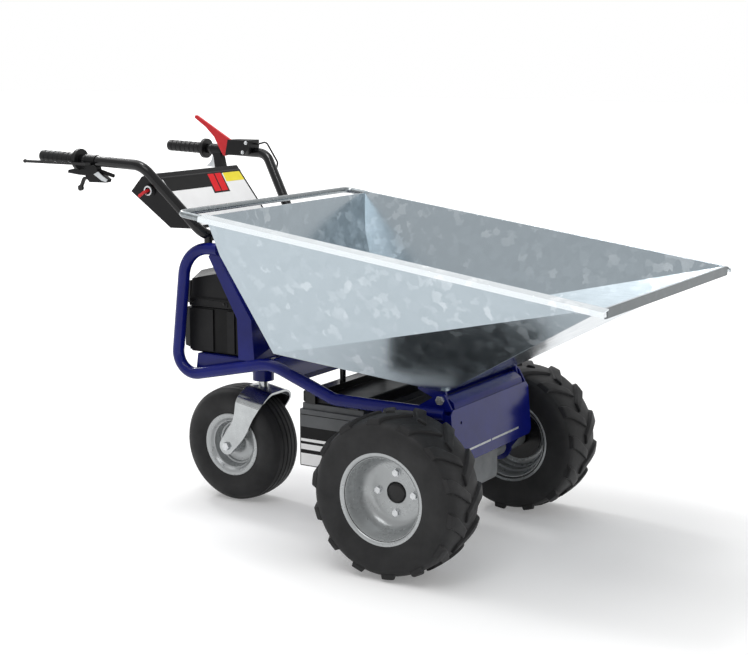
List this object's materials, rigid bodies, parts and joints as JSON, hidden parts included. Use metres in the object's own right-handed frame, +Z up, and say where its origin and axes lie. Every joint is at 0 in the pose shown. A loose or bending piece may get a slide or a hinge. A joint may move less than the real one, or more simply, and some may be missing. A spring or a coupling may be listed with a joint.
{
  "type": "site dumper",
  "caption": "Walk-behind electric mini dumper with a forward-tipping galvanised hopper, blue tube frame, lugged drive wheels and a swivelling rear castor.",
  "frame": {"origin": "on the ground, midway between the hopper's lip and the end of the brake lever, on the machine's middle plane", "axes": "+X forward, the way the hopper tips; +Y to the machine's left; +Z up"},
  "size_m": [1.766, 0.834, 1.0603],
  "materials": {
    "blue_paint": "gloss powder coat, navy blue",
    "zinc_steel": "zinc plated steel",
    "galvanised": "hot-dip galvanised sheet with spangle",
    "grip_rubber": "moulded black rubber",
    "battery_grey": "grained grey plastic",
    "black_case": "grained black plastic",
    "gear_grey": "grey painted casting",
    "tyre_rubber": "black tyre rubber",
    "silver_paint": "silver painted pressed steel",
    "black_steel": "gloss black powder coat",
    "face_panel": "printed film, left bare",
    "alloy": "cast alloy",
    "red_plastic": "red moulded plastic",
    "cable_jacket": "black cable jacket"
  },
  "bodies": {
    "chassis": {"frame_tube_left": "blue_paint", "frame_tube_right": "blue_paint", "bulkhead": "blue_paint", "castor_mount": "blue_paint", "rear_floor": "blue_paint", "front_cross_member": "blue_paint", "front_cover": "blue_paint", "pivot_gussets": "blue_paint", "stop_bar": "blue_paint", "axle_brackets": "blue_paint", "pivot_bolts": "zinc_steel", "hopper_stops": "zinc_steel", "grips": "grip_rubber", "battery_case": "battery_grey", "battery_lid": "battery_grey", "rear_case": "black_case", "rear_case_lid": "black_case", "console": "black_case", "key_switch": "black_case", "brake_bracket": "black_case", "lever_bracket": "black_case", "throttle_block": "black_case", "gearbox": "gear_grey", "drive_motor": "gear_grey", "handlebar": "black_steel", "handlebar_posts": "black_steel", "brake_lever": "black_steel", "finger_lever": "black_steel", "battery_hangers": "black_steel", "console_panel": "face_panel", "lever_plates": "alloy", "throttle_lever": "red_plastic", "key": "red_plastic", "throttle_cable": "cable_jacket"},
    "hopper": {"hopper_floor": "galvanised", "hopper_side_left": "galvanised", "hopper_side_right": "galvanised", "hopper_rim_left": "galvanised", "hopper_rim_right": "galvanised", "hopper_lip": "galvanised", "hopper_rear_bar": "galvanised", "hopper_ears": "blue_paint"},
    "wheel_left": {"tyre_left": "tyre_rubber", "rim_left": "silver_paint", "hub_left": "black_steel"},
    "wheel_right": {"tyre_right": "tyre_rubber", "rim_right": "silver_paint", "hub_right": "black_steel"},
    "castor_yoke": {"castor_fork": "silver_paint", "castor_bolt": "zinc_steel"},
    "castor_wheel": {"castor_tyre": "tyre_rubber", "castor_rim": "silver_paint"}
  },
  "joints": [
    {"name": "hopper_tip", "type": "hinge", "parent": "chassis", "child": "hopper", "pos_m": [0.37096, 0, 0.41], "axis": [0, 1, 0], "range_deg": [0, 60]},
    {"name": "wheel_left_spin", "type": "hinge", "parent": "chassis", "child": "wheel_left", "pos_m": [0.32496, 0.3345, 0.2025], "axis": [0, 1, 0], "continuous": true},
    {"name": "wheel_right_spin", "type": "hinge", "parent": "chassis", "child": "wheel_right", "pos_m": [0.32496, -0.3345, 0.2025], "axis": [0, 1, 0], "continuous": true},
    {"name": "castor_swivel", "type": "hinge", "parent": "chassis", "child": "castor_yoke", "pos_m": [-0.30804, 0, 0.36], "axis": [0, 0, 1], "continuous": true},
    {"name": "castor_spin", "type": "hinge", "parent": "castor_yoke", "child": "castor_wheel", "pos_m": [-0.38354, 0, 0.1635], "axis": [0, 1, 0], "continuous": true}
  ]
}
